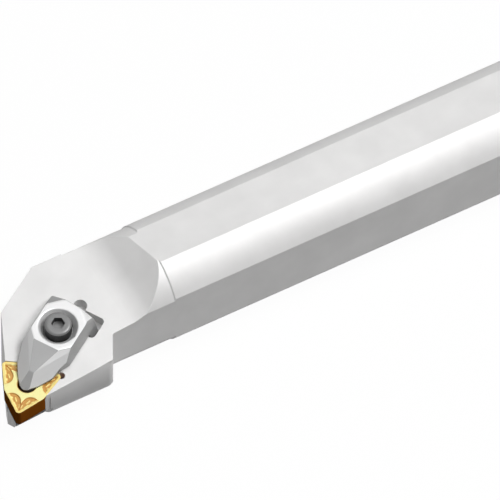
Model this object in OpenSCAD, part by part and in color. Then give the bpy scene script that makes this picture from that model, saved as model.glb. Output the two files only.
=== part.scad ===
// Right-hand boring bar: a flatted round steel shank with a tilted seat at its head.
// A trigon insert lies on a screwed shim in the seat, and a hooked clamp holds it through its hole.
// The origin is on the shank's axis in the rear face, +X is to the rear and +Z is up.
// The cutting side of the head is on -Y, and the cutting edge is at the height of the axis.

/* [Bar] */
// Length from the nose of the insert to the rear face
bar_l = 200; // [150:5:300]
// Diameter of the round shank
shank_d = 25; // [24.6:0.1:26]
// Height over the top and bottom flats
flats_h = 23; // [22:0.1:24]
// Distance from the axis to the flat on the cutting side
side_flat = 11; // [10.2:0.1:11.8]
// Diameter of the turned neck between head and shank
neck_d = 24.5; // [23.5:0.1:25]
// Distance from the nose to the shoulder where the full shank starts
neck_end = 40.25; // [38:0.25:50]
// Chamfer on the shoulder of the shank
shoulder_chamfer = 0.25; // [0.1:0.05:0.6]
// Chamfer round the rear face
rear_chamfer = 1.2; // [0.4:0.1:2]

/* [Head] */
// Distance from the axis to the nose of the insert, across the bar
nose_reach = 17; // [16.5:0.1:17.6]
// Radius of the eccentric swell on the cutting side
swell_r = 14.1; // [13.9:0.05:14.4]
// How far the swell is turned off the axis, toward the cutting side
swell_offset = 2.3; // [2:0.05:2.6]
// Distance behind the nose where the swell starts beside the insert
swell_start = 8; // [7.5:0.1:9]
// Distance behind the nose where the swell's rear face meets the side flat
swell_end = 25.65; // [24:0.05:28]
// Angle of the swell's rear face from square
swell_rear_turn = 28.7; // [10:0.5:45]
// Fillet between the swell's rear face and the side flat
swell_fillet = 0.6; // [0.3:0.1:4]
// How far the face under the front cutting edge stands behind the nose
nose_face_back = 0.3; // [0.1:0.05:0.5]
// Angle of that face from square
nose_face_turn = 5; // [3:0.5:7]
// Distance from the axis to the corner between the nose face and the front face
front_corner = 11.46; // [10.5:0.1:12]
// Angle of the front face from square
front_turn = 25.5; // [20:0.5:30]
// Distance from the axis to the far corner of the front face
far_corner = 4.66; // [3:0.1:6]
// Depth below the insert where the flat relief under the nose starts
relief_from = 1.2; // [0.6:0.1:2]
// Fall of that relief, across the nose
relief_fall = 46.6; // [42:0.2:55]
// How far the relief runs on behind the start of the swell
relief_past = 0.8; // [0.3:0.1:1.5]
// Angle of the slanted face behind the far corner, from square
slant_turn = 61; // [50:1:70]

/* [Seat] */
// Fall of the seat toward the front
axial_tilt = 6; // [5:0.5:7]
// Fall of the seat toward the cutting side
radial_tilt = 9.55; // [8.5:0.05:11]
// Angle of the side cutting edge from the bar's length, measured in the seat
edge_turn = 4; // [3:0.5:5]
// Height of the rake face over the top of the insert
rake_lift = 0.15; // [0.1:0.05:0.4]
// Distance from the corner of the insert to the foot of the ramp
ramp_start = 33.1; // [31:0.1:34]
// Slope of the ramp against the rake face
ramp_slope = 31.2; // [28:0.2:40]
// Fillet at the foot of the ramp
ramp_r = 10; // [3:0.5:14]
// Radius of the relief hole at the inner corner of the pocket
relief_r = 0.75; // [0.4:0.01:0.9]
// Distance of that hole from the insert's sharp corner
relief_in = 0.27; // [0.1:0.01:0.6]

/* [Insert] */
// Diameter of the circle that touches the six edges
insert_ic = 9.525; // [9.3:0.025:9.7]
// Thickness of the insert
insert_t = 4.76; // [4.3:0.02:5.2]
// Nose radius
nose_r = 0.8; // [0.4:0.2:1.2]
// Diameter of the hole
insert_hole_d = 3.81; // [3.7:0.01:4.2]
// Diameter of the bevelled mouth of the hole
insert_mouth_d = 4.9; // [4.4:0.1:5.2]
// Depth of the chip grooves
groove_deep = 0.3; // [0.15:0.05:0.4]
// Width of the chip grooves
groove_w = 2.3; // [1.2:0.1:2.4]
// Length of the chip grooves
groove_l = 4.7; // [3:0.1:5]
// Width of a groove's narrow end, as a share of its wide end
groove_taper = 0.3; // [0.25:0.05:0.8]
// Width of the flat land between a cutting edge and its groove
land_w = 0.25; // [0.15:0.05:0.5]

/* [Shim] */
// Thickness of the shim
shim_t = 3.18; // [2.6:0.02:3.6]
// Inset of the shim's outline from the insert's
shim_inset = 0.1; // [0.05:0.05:0.3]
// Diameter of the shim screw's thread
shim_screw_d = 3; // [2.5:0.1:3.2]
// Diameter of the shim screw's countersunk head
shim_head_d = 4.9; // [4.4:0.1:5.4]
// Length of the shim screw's thread in the bar
shim_thread_l = 3.6; // [2.5:0.1:3.8]
// Width across the flats of the shim screw's socket
shim_key_w = 2; // [1.5:0.1:2]

/* [Clamp] */
// Distance from the corner of the insert to the clamp screw, along the bar
screw_back = 16.4; // [15.8:0.1:17]
// Distance from the corner of the insert to the clamp screw, across the bar
screw_in = 11.55; // [11:0.05:12]
// Height of the clamp's top over the insert
clamp_top = 4; // [3.6:0.1:5]
// Width of the clamp's flat top
clamp_top_w = 9.5; // [8.8:0.1:10]
// Width of the clamp at its foot
clamp_foot_w = 11.3; // [10.8:0.1:11.6]
// Distance from the screw to the clamp's rear face
clamp_back = 6.15; // [5.6:0.05:6.4]
// Distance from the screw to the front edge of the flat top
clamp_flat_l = 4.65; // [4.2:0.05:5.4]
// How far the tip reaches past the centre of the insert
tip_over = 1.6; // [1.2:0.1:1.8]
// Radius of the hook that drops into the insert's hole
hook_r = 1.55; // [1.2:0.05:1.6]
// Depth of the hook below the insert's top
hook_deep = 1.8; // [1:0.1:2.2]
// Radius of the pad round the hook, which presses on the insert
pad_r = 2.75; // [2.6:0.05:3]

/* [Clamp screw] */
// Diameter of the clamp screw's thread
screw_d = 3; // [2.8:0.1:3.2]
// Length of the clamp screw under its head
screw_l = 14; // [10:1:15]
// Diameter of the head
head_d = 5.7; // [5.4:0.1:5.9]
// Height of the head
head_h = 3; // [2.6:0.1:3.4]
// Width across the flats of the socket
key_w = 2.5; // [2:0.5:3]

/* [Spring] */
// Diameter of the spring's wire
wire_d = 0.5; // [0.4:0.05:0.6]
// Diameter of the spring through the middle of its wire
coil_d = 4.3; // [4.2:0.05:4.4]
// Number of turns
coil_turns = 4; // [3:1:5]
// Depth of the pocket that holds the spring, below the rake face
spring_pocket_deep = 4; // [3:0.1:5]

/* [Hidden] */
$fn = 96;

// Clearances
seat_gap = 0.05;
under_gap = 0.25;
pad_gap = 0.05;
thread_gap = 0.05;
screw_gap = 0.3;
head_gap = 0.2;
spring_gap = 0.05;
groove_gap = 0.3;
over = 1;
far = 40;

// Rounding circles reach this much past their tangent points, so that they cross the faces cleanly
past_tangent = 1.0003;

// Colours
steel = [0.86, 0.86, 0.85];
shim_grey = [0.35, 0.35, 0.36];
screw_grey = [0.42, 0.42, 0.44];
coating = [0.95, 0.85, 0.5];
wire_grey = [0.6, 0.6, 0.62];

// The trigon's outline turns about its centre, with a corner every 120 degrees
corner_half = 40;
mid_half = 80;
corner_r = insert_ic / 2 / sin(corner_half);
nose_at = nose_r / sin(corner_half);
to_centre = edge_turn + corner_half;
insert_c = corner_r * [cos(to_centre), sin(to_centre)];

// The sharp corner lies outside the nose radius
sharp_x = nose_at * cos(to_centre) - nose_r;
sharp_y = nose_at * sin(to_centre) - nose_r;
corner_at = [-bar_l - sharp_x, -nose_reach - sharp_y, 0];
seat_deep = insert_t + shim_t;

// The clamp points from its screw at the centre of the insert
screw_c = [screw_back, screw_in];
clamp_way = insert_c - screw_c;
clamp_turn = atan2(clamp_way[1], clamp_way[0]);
to_hole = norm(clamp_way);
tip = to_hole + tip_over;
clamp_foot = rake_lift + under_gap;
draft = atan((clamp_foot_w - clamp_top_w) / 2 / (clamp_top - clamp_foot));

// Half of the clamp's outline: distance back from the tip, and half width
nose_sides = [[8.3, 5.1], [6.8, 4.55], [4.7, 4.1], [1.9, 2.35], [0.45, 1.1], [0, 0.3]];
shoulder_back = 9.4;
rear_turn = 4;
nose_fall = 14.1;
tip_from = 3.4;
tip_fall = 34;
cheek_steps = 4;
cheek_turn = 45;
cheek_fall = 29.6;
snout_half = 0.55;
snout_turn = 49.5;
snout_fall = 40;
heel_corner_at = 1.9;
heel_corner_turn = 136;
heel_corner_fall = 34;

// Foot of the clamp and the cross groove that takes it, with its open end on the cutting side
heel_from = 3;
heel_deep = 2.2;
heel_far = 4.4;
groove_back = 7.7;
groove_side = 6.6;
groove_end_r = 0.9;
notch_back = 8.1;
notch_side = 0.5;
notch_r = 1.4;
cross_deep = heel_deep + rake_lift + groove_gap;

// Screw head and its dish in the clamp
dish_r = 4.1;
dish_deep = 1.4;
head_seat = clamp_top - 1.8;
head_edge = 0.7;
key_deep = 1.6;
shim_key_deep = 1.1;
shim_head_edge = 0.2;
shim_head_sink = 0.1;
screw_tip_room = 1;

// Places a shape at a distance behind the nose, along the bar
module behind_nose(x = 0) {
    translate([x - bar_l, 0, 0]) children();
}

// Places a shape on the top plane of the insert, with its sharp corner at zero
module on_seat() {
    translate(corner_at) rotate([radial_tilt, -axial_tilt, 0]) children();
}

// Places a shape at the centre of the insert, turned so that a corner points along its X
module at_insert() {
    on_seat() translate(insert_c) rotate([0, 0, to_centre + 180]) children();
}

// Places a shape on the clamp screw's axis, with X toward the insert
module at_clamp() {
    on_seat() translate(screw_c) rotate([0, 0, clamp_turn]) children();
}

// All that lies above a plane through a point, which falls by some degrees toward a bearing
module above_plane(point, fall, bearing) {
    translate(point) rotate([0, fall, bearing]) translate([-far / 2, -far / 2, 0]) cube([far, far, far / 2]);
}

// Unit vector from one point to another
function way(from, to) = (to - from) / norm(to - from);

// Convex polygon with a radius for each corner, where zero leaves the corner sharp
module round_polygon(points, radii) {
    n = len(points);
    corners = [for (i = [0:n - 1]) let (
        p = points[i],
        a = way(p, points[(i + n - 1) % n]),
        b = way(p, points[(i + 1) % n]),
        half = acos(a * b) / 2,
        back = radii[i] / tan(half)
    ) [p + back * a, p + back * b, p + radii[i] / sin(half) * (a + b) / norm(a + b)]];
    polygon([for (i = [0:n - 1]) each radii[i] > 0 ? [corners[i][0], corners[i][1]] : [points[i]]]);
    for (i = [0:n - 1]) {
        if (radii[i] > 0) {
            translate(corners[i][2]) circle(radii[i] * past_tangent);
        }
    }
}

// The flat relief under the nose, which also trims the shim, up to the swell
module nose_relief() {
    on_seat() rotate([0, 0, edge_turn]) translate([-over, shim_inset, -insert_t - relief_from])
        rotate([90, 0, 90]) linear_extrude(over + swell_start + relief_past) polygon([
            [0, 0],
            [far * cos(relief_fall), -far * sin(relief_fall)],
            [-far, -far * sin(relief_fall)],
            [-far, 0]
        ]);
}

// Outline of the six-edged insert, grown or shrunk by an even margin, with a radius at its corners
module trigon(grow = 0, radius = 0) {
    r_in = insert_ic / 2 + grow;
    round_polygon(
        [for (i = [0:2]) each [
            r_in / sin(corner_half) * [cos(120 * i), sin(120 * i)],
            r_in / sin(mid_half) * [cos(120 * i + 60), sin(120 * i + 60)]
        ]],
        [for (i = [0:2]) each [radius, 0]]
    );
}

// Turned blank of the bar, with its axis along X: head, neck and shank
module turned_blank() {
    r = shank_d / 2;
    behind_nose() rotate([0, 90, 0]) rotate_extrude() polygon([
        [0, 0],
        [r, 0],
        [r, swell_end],
        [neck_d / 2, swell_end],
        [neck_d / 2, neck_end],
        [r - shoulder_chamfer, neck_end],
        [r, neck_end + shoulder_chamfer],
        [r, bar_l - rear_chamfer],
        [r - rear_chamfer, bar_l],
        [0, bar_l]
    ]);
}

// Eccentric swell that carries the pocket's wall on the cutting side
module swell() {
    behind_nose() translate([0, -swell_offset, 0]) rotate([0, 90, 0]) cylinder(r = swell_r, h = swell_end);
}

// Everything in front of the head's upright front faces
module front_cut() {
    corner_x = nose_face_back + (nose_reach - front_corner) * tan(nose_face_turn);
    corner = [corner_x, -front_corner];
    far_pt = corner + (front_corner + far_corner) * [tan(front_turn), 1];
    slant_pt = far_pt + shank_d / 2 * [tan(slant_turn), 1];
    nose_pt = corner - shank_d / 2 * [tan(nose_face_turn), 1];
    behind_nose() translate([0, 0, -shank_d]) linear_extrude(2 * shank_d) polygon([
        nose_pt,
        corner,
        far_pt,
        slant_pt,
        [-far, slant_pt[1]],
        [-far, nose_pt[1]]
    ]);
}

// The swell in front of its rear face, cut by the front faces, which also trims the shim
module head_envelope() {
    difference() {
        swell();
        front_cut();
        nose_relief();
    }
}

// Everything outside the side flat, up to the swell's rear face, with a fillet in the corner
module side_cut() {
    deep = shank_d;
    root = [swell_end, -side_flat];
    behind_nose() translate([0, 0, -shank_d]) linear_extrude(2 * shank_d) round_polygon(
        [root, [bar_l + over, -side_flat], [bar_l + over, -deep], root + deep * [-tan(swell_rear_turn), -1]],
        [swell_fillet, 0, 0, 0]
    );
}

// The three flats of the shank; top and bottom run the whole length
module flats_cut() {
    for (side = [0, 1]) {
        mirror([0, 0, side]) behind_nose() translate([-over, -shank_d, flats_h / 2])
            cube([bar_l + 2 * over, 2 * shank_d, shank_d]);
    }
    side_cut();
}

// The space over the rake face and the filleted ramp behind it
module rake_cut() {
    up = shank_d;
    foot = [ramp_start, rake_lift];
    top = foot + up * [1 / tan(ramp_slope), 1];
    on_seat() translate([0, far, 0]) rotate([90, 0, 0]) linear_extrude(2 * far)
        round_polygon([[-far, rake_lift], foot, top, [-far, rake_lift + up]], [0, ramp_r, 0, 0]);
}

// The pocket of insert and shim, open to the front and beside the nose
module seat_cut() {
    at_insert() translate([0, 0, -seat_deep]) linear_extrude(seat_deep + over) trigon(seat_gap);
    on_seat() translate([0, 0, -seat_deep]) linear_extrude(seat_deep + over) polygon([
        [-over, -nose_reach],
        [swell_start, -nose_reach],
        [swell_start, swell_start * tan(edge_turn) + seat_gap],
        [-over, 0]
    ]);
    at_insert() rotate([0, 0, 120]) translate([corner_r - relief_in, 0, -seat_deep])
        cylinder(r = relief_r, h = seat_deep + over);
}

module bar_body() {
    color(steel) difference() {
        union() {
            turned_blank();
            swell();
        }
        front_cut();
        nose_relief();
        flats_cut();
        rake_cut();
        seat_cut();
        shim_screw_hole();
        clamp_groove_cut();
        clamp_screw_hole();
    }
}

module shim_screw_hole() {
    at_insert() translate([0, 0, -seat_deep - shim_thread_l])
        cylinder(d = shim_screw_d + 2 * thread_gap, h = shim_thread_l + over);
}

// Rectangle with four equal round corners
module round_slot(low, high, radius) {
    translate(low + [0, radius]) square(high - low - [0, 2 * radius]);
    translate(low + [radius, 0]) square(high - low - [2 * radius, 0]);
    for (x = [low[0] + radius, high[0] - radius], y = [low[1] + radius, high[1] - radius]) {
        translate([x, y]) circle(radius);
    }
}

// Cross groove under the clamp's heel, with a half-round notch in its rear wall
module clamp_groove_cut() {
    low = [-groove_back, -heel_far - groove_gap];
    high = [-heel_from + groove_gap, groove_side];
    at_clamp() translate([0, 0, rake_lift - cross_deep]) linear_extrude(cross_deep + over) {
        round_slot(low, high, groove_end_r);
        translate([-notch_back, notch_side]) circle(notch_r);
    }
}

module clamp_screw_hole() {
    hole_deep = screw_l - head_seat + screw_tip_room;
    at_clamp() translate([0, 0, -hole_deep]) cylinder(d = screw_d + 2 * thread_gap, h = hole_deep + over);
    at_clamp() translate([0, 0, rake_lift - spring_pocket_deep])
        cylinder(d = coil_d + wire_d + 4 * head_gap, h = spring_pocket_deep + over);
}

// One tapered scoop beside a cutting edge: two balls of unlike size and the cone between them
module chip_groove() {
    big_r = (pow(groove_w / 2, 2) + pow(groove_deep, 2)) / (2 * groove_deep);
    small_r = big_r * groove_taper;
    low = 1 - groove_deep / big_r;
    span = groove_l - groove_w * (1 + groove_taper) / 2;
    rise = (big_r - small_r) * low;
    aside = groove_w * (1 - groove_taper) / 2;
    apart = norm([span, aside, rise]);
    lean = asin((big_r - small_r) / apart);
    translate([0, land_w + groove_w * groove_taper / 2, small_r * low])
        rotate([0, 90 - asin(rise / apart), atan2(aside, span)]) rotate_extrude() intersection() {
            union() {
                circle(small_r);
                translate([0, apart]) circle(big_r);
                polygon([
                    [0, 0],
                    small_r * [cos(lean), -sin(lean)],
                    [0, apart] + big_r * [cos(lean), -sin(lean)],
                    [0, apart]
                ]);
            }
            translate([0, -big_r]) square([big_r, apart + 2 * big_r]);
        }
}

// The scoops of one face lie along both edges of each corner
module face_grooves() {
    for (i = [0:2], side = [0, 1]) {
        rotate([0, 0, 120 * i]) mirror([0, side, 0]) translate([corner_r, 0, 0]) rotate([0, 0, corner_half - 180])
            mirror([0, 1, 0]) translate([nose_at, 0, 0]) chip_groove();
    }
}

module cutting_insert() {
    mouth_r = insert_mouth_d / 2;
    mouth_deep = mouth_r - insert_hole_d / 2;
    color(coating) at_insert() difference() {
        translate([0, 0, -insert_t]) linear_extrude(insert_t) trigon(radius = nose_r);
        translate([0, 0, -insert_t - over]) cylinder(d = insert_hole_d, h = insert_t + 2 * over);
        translate([0, 0, -mouth_deep]) cylinder(r1 = insert_hole_d / 2, r2 = mouth_r + over, h = mouth_deep + over);
        translate([0, 0, -insert_t - over])
            cylinder(r1 = mouth_r + over, r2 = insert_hole_d / 2, h = mouth_deep + over);
        face_grooves();
        translate([0, 0, -insert_t]) mirror([0, 0, 1]) face_grooves();
    }
}

module shim() {
    cone_h = (shim_head_d - shim_screw_d) / 2;
    top = -insert_t;
    lip = shim_head_sink + shim_head_edge;
    color(shim_grey) intersection() {
        at_insert() difference() {
            translate([0, 0, -seat_deep]) linear_extrude(shim_t) trigon(-shim_inset, nose_r - shim_inset);
            translate([0, 0, -seat_deep - over]) cylinder(d = shim_screw_d + 2 * thread_gap, h = shim_t + 2 * over);
            translate([0, 0, top - lip]) cylinder(d = shim_head_d + 2 * thread_gap, h = lip + over);
            translate([0, 0, top - lip - cone_h])
                cylinder(d1 = shim_screw_d + 2 * thread_gap, d2 = shim_head_d + 2 * thread_gap, h = cone_h);
        }
        head_envelope();
    }
}

// Hexagonal socket sunk from the top of a head
module key_socket(width, deep) {
    translate([0, 0, -deep]) cylinder(d = width / cos(30), h = deep + over, $fn = 6);
}

module shim_screw() {
    r = shim_screw_d / 2;
    cone_h = (shim_head_d - shim_screw_d) / 2;
    tip_z = -shim_t - shim_thread_l + thread_gap + shim_head_sink;
    color(screw_grey) at_insert() translate([0, 0, -insert_t - shim_head_sink]) difference() {
        rotate_extrude() polygon([
            [0, 0],
            [shim_head_d / 2, 0],
            [shim_head_d / 2, -shim_head_edge],
            [r, -shim_head_edge - cone_h],
            [r, tip_z + r / 4],
            [r * 3 / 4, tip_z],
            [0, tip_z]
        ]);
        key_socket(shim_key_w, shim_key_deep);
    }
}

// Outline of the clamp seen from above, with X toward the tip
module clamp_outline(grow = 0) {
    half = clamp_foot_w / 2 + grow;
    rear = [for (side = [1, -1]) [-clamp_back - side * half * tan(-rear_turn), side * half]];
    upper = concat([[tip - shoulder_back, half]], [for (p = nose_sides) [tip - p[0], p[1]]]);
    lower = [for (i = [len(upper) - 1:-1:0]) [upper[i][0], -upper[i][1]]];
    polygon(concat([rear[0]], upper, lower, [rear[1]]));
}

// Faceted top of the clamp: flat, sloping nose, steep tip, cheeks and cut heel corners
module clamp_facets() {
    half_top = clamp_top_w / 2;
    nose_drop = (tip - tip_from - clamp_flat_l) * tan(nose_fall);
    above_plane([clamp_flat_l, 0, clamp_top], nose_fall, 0);
    above_plane([tip - tip_from, 0, clamp_top - nose_drop], tip_fall, 0);
    for (side = [-1, 1]) {
        above_plane([0, side * half_top, clamp_top], 90 - draft, side * 90);
        for (t = [0:1 / cheek_steps:1]) {
            above_plane(
                [tip - tip_from, side * snout_half, clamp_top - nose_drop],
                cheek_fall + t * (snout_fall - cheek_fall),
                side * (cheek_turn + t * (snout_turn - cheek_turn))
            );
        }
        above_plane([-clamp_back, side * heel_corner_at, clamp_top], heel_corner_fall, side * heel_corner_turn);
    }
}

// The drafted sides run on below the rake face, down into the cross groove
module clamp_heel() {
    low = rake_lift - cross_deep + groove_gap;
    translate([0, 0, low]) linear_extrude(clamp_top - low) intersection() {
        clamp_outline(2);
        translate([-far, -heel_far]) square([far - heel_from, far]);
    }
}

module clamp_hook() {
    translate([0, 0, pad_gap]) linear_extrude(clamp_foot) intersection() {
        translate([to_hole, 0]) circle(pad_r);
        clamp_outline();
    }
    translate([to_hole - insert_hole_d / 2 + hook_r + pad_gap * 2, 0, -hook_deep])
        cylinder(r = hook_r, h = hook_deep + clamp_foot);
}

module clamp() {
    dish_floor_r = head_d / 2 + head_gap;
    color(steel) at_clamp() difference() {
        union() {
            translate([0, 0, clamp_foot]) linear_extrude(clamp_top - clamp_foot) clamp_outline();
            clamp_hook();
            clamp_heel();
        }
        clamp_facets();
        translate([0, 0, clamp_top - dish_deep])
            cylinder(r1 = dish_floor_r, r2 = dish_r, h = dish_deep);
        translate([0, 0, head_seat]) cylinder(r = dish_floor_r, h = far);
        translate([0, 0, -far / 2]) cylinder(d = screw_d + 2 * screw_gap, h = far);
    }
}

module clamp_screw() {
    r = screw_d / 2;
    color(screw_grey) at_clamp() translate([0, 0, head_seat]) difference() {
        union() {
            rotate_extrude()
                round_polygon([[0, head_h], [head_d / 2, head_h], [head_d / 2, 0], [0, 0]], [0, head_edge, 0, 0]);
            rotate_extrude()
                polygon([[0, over], [r, over], [r, -screw_l + r / 4], [r * 3 / 4, -screw_l], [0, -screw_l]]);
        }
        translate([0, 0, head_h]) key_socket(key_w, key_deep);
    }
}

// Compression spring that lifts the clamp off the insert
module clamp_spring() {
    sides = 6;
    per_turn = 20;
    rings = coil_turns * per_turn;
    low = rake_lift - spring_pocket_deep + wire_d / 2 + spring_gap;
    high = clamp_foot - wire_d / 2 - spring_gap;
    ring = function (i) let (t = i / rings) [
        for (j = [0:sides - 1]) let (
            rr = coil_d / 2 + wire_d / 2 * cos(360 * j / sides),
            up = low + (high - low) * t + wire_d / 2 * sin(360 * j / sides),
            a = 360 * coil_turns * t
        ) [rr * cos(a), rr * sin(a), up]
    ];
    points = [for (i = [0:rings]) each ring(i)];
    walls = [for (i = [0:rings - 1], j = [0:sides - 1]) let (k = (j + 1) % sides) [
        i * sides + j, (i + 1) * sides + j, (i + 1) * sides + k, i * sides + k
    ]];
    ends = [[for (j = [0:sides - 1]) j], [for (j = [sides - 1:-1:0]) rings * sides + j]];
    color(wire_grey) at_clamp() polyhedron(points, concat(walls, ends));
}

bar_body();
cutting_insert();
shim();
shim_screw();
clamp();
clamp_screw();
clamp_spring();
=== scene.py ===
"""Right-hand boring bar: dressed model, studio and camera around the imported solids."""

from __future__ import annotations

import logging
import math
from collections.abc import Callable
from dataclasses import dataclass, field
from enum import Enum

import bmesh
import bpy
from mathutils import Matrix, Vector
from mathutils.bvhtree import BVHTree
from mathutils.geometry import barycentric_transform


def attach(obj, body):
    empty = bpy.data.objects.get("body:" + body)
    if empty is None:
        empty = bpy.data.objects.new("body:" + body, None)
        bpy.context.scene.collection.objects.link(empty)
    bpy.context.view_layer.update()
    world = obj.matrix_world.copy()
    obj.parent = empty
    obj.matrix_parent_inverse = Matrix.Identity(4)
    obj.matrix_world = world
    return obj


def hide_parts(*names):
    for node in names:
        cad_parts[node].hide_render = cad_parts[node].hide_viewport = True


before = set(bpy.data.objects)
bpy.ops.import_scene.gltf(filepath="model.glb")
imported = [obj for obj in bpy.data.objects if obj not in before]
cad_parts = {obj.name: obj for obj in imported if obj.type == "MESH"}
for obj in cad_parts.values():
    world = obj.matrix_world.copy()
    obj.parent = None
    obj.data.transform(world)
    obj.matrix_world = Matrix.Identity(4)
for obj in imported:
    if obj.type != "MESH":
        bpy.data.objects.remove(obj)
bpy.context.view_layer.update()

log = logging.getLogger("boring_bar")
MM = 0.001
EVEN = (1.0, 1.0, 1.0)
NOISE_SPAN = (0.3, 0.7)


class Body(Enum):
    """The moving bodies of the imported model."""

    BAR = "bar"
    CLAMP = "clamp_body"
    SCREW = "screw_body"


class Slot(Enum):
    """Names of the record's material slots, passed along with the dressed pieces."""

    BAR_STEEL = "bar_steel"
    CLAMP_STEEL = "clamp_steel"
    CARBIDE = "carbide"
    SHIM = "shim_dark"
    BLACK = "black_oxide"


class ShaderTree:
    """Builds the nodes of one material around a Principled shader."""

    def __init__(self, name: str) -> None:
        """Starts an empty material.

        Args:
            name: Name of the new material.
        """
        self.material = bpy.data.materials.new(name)
        self.material.use_nodes = True
        self.tree = self.material.node_tree
        self.tree.nodes.clear()
        self.shader = self.add("ShaderNodeBsdfPrincipled")
        out = self.add("ShaderNodeOutputMaterial")
        self.link(self.shader.outputs["BSDF"], out.inputs["Surface"])
        self.coords = self.add("ShaderNodeTexCoord").outputs["Object"]

    def add(self, kind: str, **settings: object) -> bpy.types.Node:
        """Adds a node.

        Args:
            kind: Blender's name of the node type.
            **settings: Attributes to set on the node.

        Returns:
            The new node.
        """
        node = self.tree.nodes.new(kind)
        for key, value in settings.items():
            setattr(node, key, value)
        return node

    def link(self, source: bpy.types.NodeSocket, target: bpy.types.NodeSocket) -> None:
        """Joins an output to an input."""
        self.tree.links.new(source, target)

    def noise(
        self, stretch: tuple[float, float, float], scale: float, detail: float
    ) -> bpy.types.NodeSocket:
        """Adds noise on Object coordinates.

        Args:
            stretch: Scale along each axis, in cycles for each metre before the noise's own scale.
            scale: The noise's own scale.
            detail: Number of octaves.

        Returns:
            The noise's factor output.
        """
        mapping = self.add("ShaderNodeMapping")
        mapping.inputs["Scale"].default_value = stretch
        texture = self.add("ShaderNodeTexNoise")
        texture.inputs["Scale"].default_value = scale
        texture.inputs["Detail"].default_value = detail
        self.link(self.coords, mapping.inputs["Vector"])
        self.link(mapping.outputs["Vector"], texture.inputs["Vector"])
        return texture.outputs["Fac"]

    def spread(self, source: bpy.types.NodeSocket, low: float, high: float) -> bpy.types.NodeSocket:
        """Maps the middle of a noise to a range.

        Args:
            source: The noise.
            low: Value at the noise's low end.
            high: Value at its high end.

        Returns:
            The mapped value.
        """
        ranged = self.add("ShaderNodeMapRange")
        ranged.inputs["From Min"].default_value, ranged.inputs["From Max"].default_value = NOISE_SPAN
        ranged.inputs["To Min"].default_value = low
        ranged.inputs["To Max"].default_value = high
        self.link(source, ranged.inputs["Value"])
        return ranged.outputs["Result"]

    def ramp(self, source: bpy.types.NodeSocket, dark: tuple, light: tuple) -> bpy.types.NodeSocket:
        """Maps the middle of a noise to a blend of two colours.

        Args:
            source: The noise.
            dark: Linear colour at the low end.
            light: Linear colour at the high end.

        Returns:
            The colour output.
        """
        colours = self.add("ShaderNodeValToRGB")
        first, last = colours.color_ramp.elements
        first.position, last.position = NOISE_SPAN
        first.color, last.color = (*dark, 1.0), (*light, 1.0)
        self.link(source, colours.inputs["Fac"])
        return colours.outputs["Color"]

    def bump(self, height: bpy.types.NodeSocket, strength: float, distance: float) -> None:
        """Adds a bump to the shader's normal, on top of any that is there.

        Args:
            height: Height value.
            strength: Strength of the bump.
            distance: Height of the bump in metres.
        """
        node = self.add("ShaderNodeBump")
        node.inputs["Strength"].default_value = strength
        node.inputs["Distance"].default_value = distance
        self.link(height, node.inputs["Height"])
        normal = self.shader.inputs["Normal"]
        if normal.links:
            self.link(normal.links[0].from_socket, node.inputs["Normal"])
        self.link(node.outputs["Normal"], normal)


@dataclass(frozen=True)
class Finish:
    """A metal or ceramic surface with fine machining lines, cloudy colour and uneven gloss."""

    name: str
    dark: tuple[float, float, float]
    light: tuple[float, float, float]
    metallic: float
    rough: tuple[float, float]
    lines: tuple[float, float, float] = (9000.0, 900.0, 900.0)
    line_height: float = 0.0000012
    grain_height: float = 0.0000008
    specular: float = 0.5
    cloud_scale: float = 140.0
    grain_scale: float = 9000.0
    bump_strength: float = 0.3

    def material(self) -> bpy.types.Material:
        """Builds the material.

        Returns:
            The procedural material of this finish.
        """
        tree = ShaderTree(self.name)
        clouds = tree.noise(EVEN, self.cloud_scale, detail=3.0)
        lines = tree.noise(self.lines, 1.0, detail=5.0)
        grain = tree.noise(EVEN, self.grain_scale, detail=2.0)
        tree.link(tree.ramp(clouds, self.dark, self.light), tree.shader.inputs["Base Color"])
        tree.link(tree.spread(lines, *self.rough), tree.shader.inputs["Roughness"])
        tree.shader.inputs["Metallic"].default_value = self.metallic
        tree.shader.inputs["Specular IOR Level"].default_value = self.specular
        tree.bump(grain, self.bump_strength, self.grain_height)
        tree.bump(lines, self.bump_strength, self.line_height)
        return tree.material


def grey(value: float, warm: float = 0.0) -> tuple[float, float, float]:
    """A near-neutral linear colour, a little warm where asked."""
    return (value * (1 + warm), value, value * (1 - warm))


GROUND, BLACK_GRAIN, SHADE_SIDE_GRAIN = (1500.0,) * 3, (3000.0,) * 3, (6000.0,) * 3
BAR_STEEL = Finish("turned_steel", grey(0.70, 0.006), grey(0.76, 0.006), 0.15, (0.48, 0.56))
# The clamp's three steels below are one ground steel in three colours: the darkest paints shade on the
# clamp's facets, the middle one paints light on its cheeks, and the lightest paints highlights on its top,
# dish, rear corner and rounded edges.
CLAMP_STEEL = Finish("ground_steel", grey(0.31), grey(0.35), 0.3, (0.36, 0.44), GROUND, 3e-7, 2e-7)
PAINTED_LIT_CHEEK = Finish("painted_lit_cheek", grey(0.56), grey(0.60), 0.3, (0.36, 0.44), GROUND, 3e-7, 2e-7)
PAINTED_HIGHLIGHT = Finish("painted_highlight_steel", grey(0.72), grey(0.76), 0.3, (0.36, 0.44), GROUND, 3e-7, 2e-7)
SHIM_STEEL = Finish("shim_finish", grey(0.07), grey(0.09), 0.0, (0.4, 0.5), specular=0.2)
BLACKED = Finish("blacked_steel", grey(0.17), grey(0.21), 0.3, (0.32, 0.42), BLACK_GRAIN, 4e-7, 3e-7)
# Near-black painted shade for the clamp screw's upright faces, the head's side down in the clamp's dish
# among them.
PAINTED_SHADE_SIDE = Finish("painted_shade_side", grey(0.008), grey(0.02), 0.0, (0.45, 0.6), SHADE_SIDE_GRAIN, 4e-7, 3e-7)
SPRING = Finish("spring_finish", grey(0.4), grey(0.5), 0.8, (0.3, 0.4))


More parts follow.
